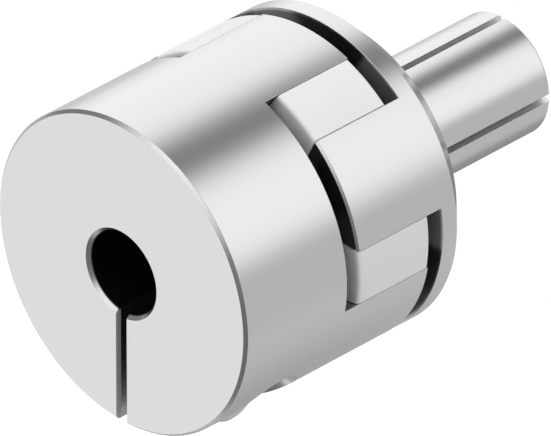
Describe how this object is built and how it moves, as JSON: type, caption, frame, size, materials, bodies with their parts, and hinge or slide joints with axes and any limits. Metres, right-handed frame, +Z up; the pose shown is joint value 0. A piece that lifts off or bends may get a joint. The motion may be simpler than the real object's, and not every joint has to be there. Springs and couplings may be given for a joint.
{
  "type": "jaw coupling",
  "caption": "Backlash-free jaw coupling: a slit clamping hub and a hub with a slotted expanding shaft, joined by an elastomer spider.",
  "frame": {"origin": "mouth of the clamping bore, in the middle of the clamping hub's front face", "axes": "+Y along the coupling's axis from the clamping hub to the expanding shaft; +Z up, away from the clamping slit; the clamping screw lies along X with its head on the +X side"},
  "size_m": [0.042, 0.065, 0.042],
  "materials": {
    "hub_aluminium": "fine-turned satin aluminium",
    "spider_elastomer": "matte pale grey moulded polyurethane",
    "screw_steel": "satin zinc-flake steel",
    "cone_steel": "ground steel"
  },
  "bodies": {
    "root": {"clamping_hub": "hub_aluminium", "expanding_hub": "hub_aluminium", "elastomer_spider": "spider_elastomer", "clamping_screw": "screw_steel", "draw_screw": "screw_steel", "expanding_cone": "cone_steel"}
  },
  "joints": []
}
